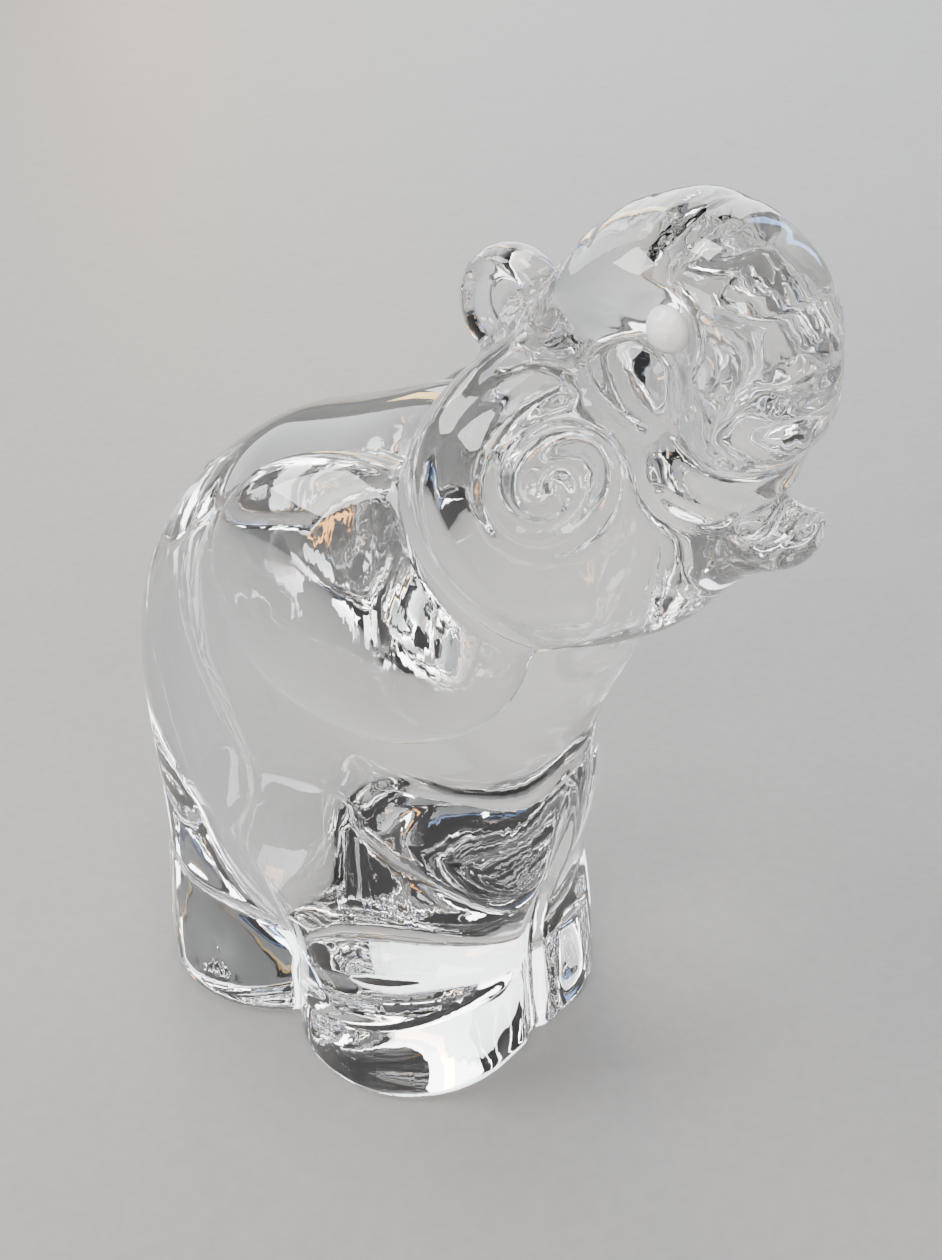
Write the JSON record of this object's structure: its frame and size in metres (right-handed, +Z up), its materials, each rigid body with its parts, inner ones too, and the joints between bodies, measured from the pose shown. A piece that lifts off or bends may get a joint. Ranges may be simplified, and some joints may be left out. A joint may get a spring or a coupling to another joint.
{
  "type": "crystal elephant figurine",
  "caption": "Clear solid crystal elephant figurine with raised head, open mouth, curled trunk, laid-back ears and a flat polished sole.",
  "frame": {"origin": "on the sole plane, under the middle of the whole outline", "axes": "+Z up; the elephant faces -Y and its own right side is -X"},
  "size_m": [0.0326, 0.068, 0.0822],
  "materials": {
    "crystal": "polished clear lead crystal",
    "opal": "opaque white glass"
  },
  "bodies": {
    "root": {"body": "crystal", "head": "crystal", "trunk": "crystal", "trunk_tip": "crystal", "lower_lip": "crystal", "ear_right": "crystal", "ear_left": "crystal", "foot_front_right": "crystal", "foot_front_left": "crystal", "foot_rear_right": "crystal", "foot_rear_left": "crystal", "eye_right": "opal", "eye_left": "opal", "tail": "crystal"}
  },
  "joints": []
}
